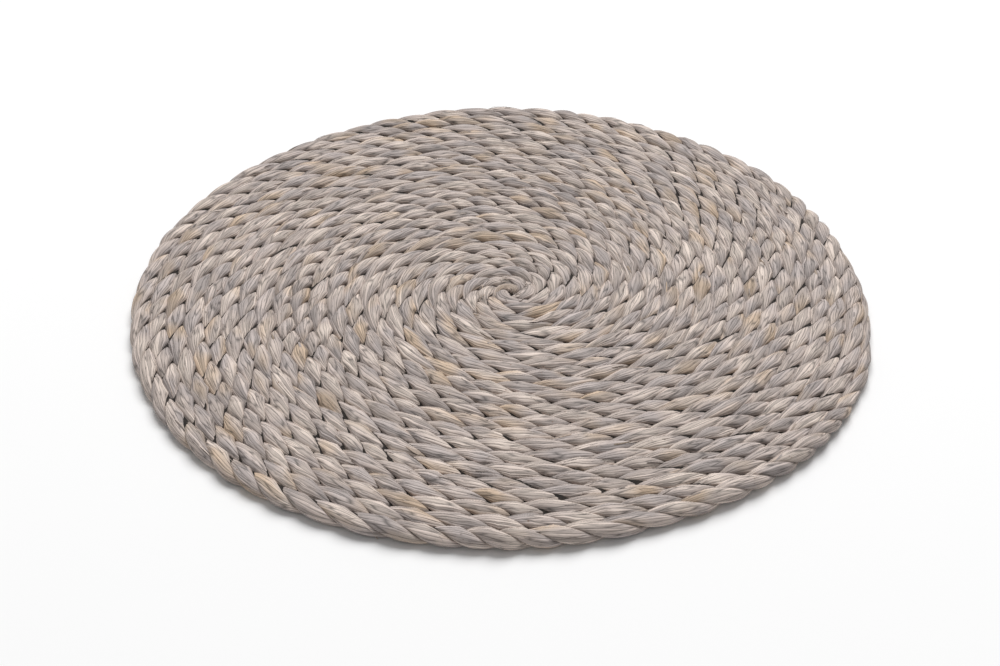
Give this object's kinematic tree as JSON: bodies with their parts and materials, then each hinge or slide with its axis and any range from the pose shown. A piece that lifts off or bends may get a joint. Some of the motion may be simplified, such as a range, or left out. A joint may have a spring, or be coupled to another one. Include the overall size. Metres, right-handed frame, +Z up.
{
  "type": "seagrass placemat",
  "caption": "Round flat table mat coiled from one twisted seagrass rope, its turns lying side by side in a spiral.",
  "frame": {"origin": "centre of the mat's outline, on the surface that it lies on", "axes": "+Z up through the mat's thickness, X and Y in the mat's plane, with the side seen nearest facing -Y"},
  "size_m": [0.3754, 0.3792, 0.009],
  "materials": {
    "seagrass": "dry twisted plant fibre with a faint satin sheen, pale grey-beige, uneven from strand to strand"
  },
  "bodies": {
    "root": {"placemat": "seagrass"}
  },
  "joints": []
}
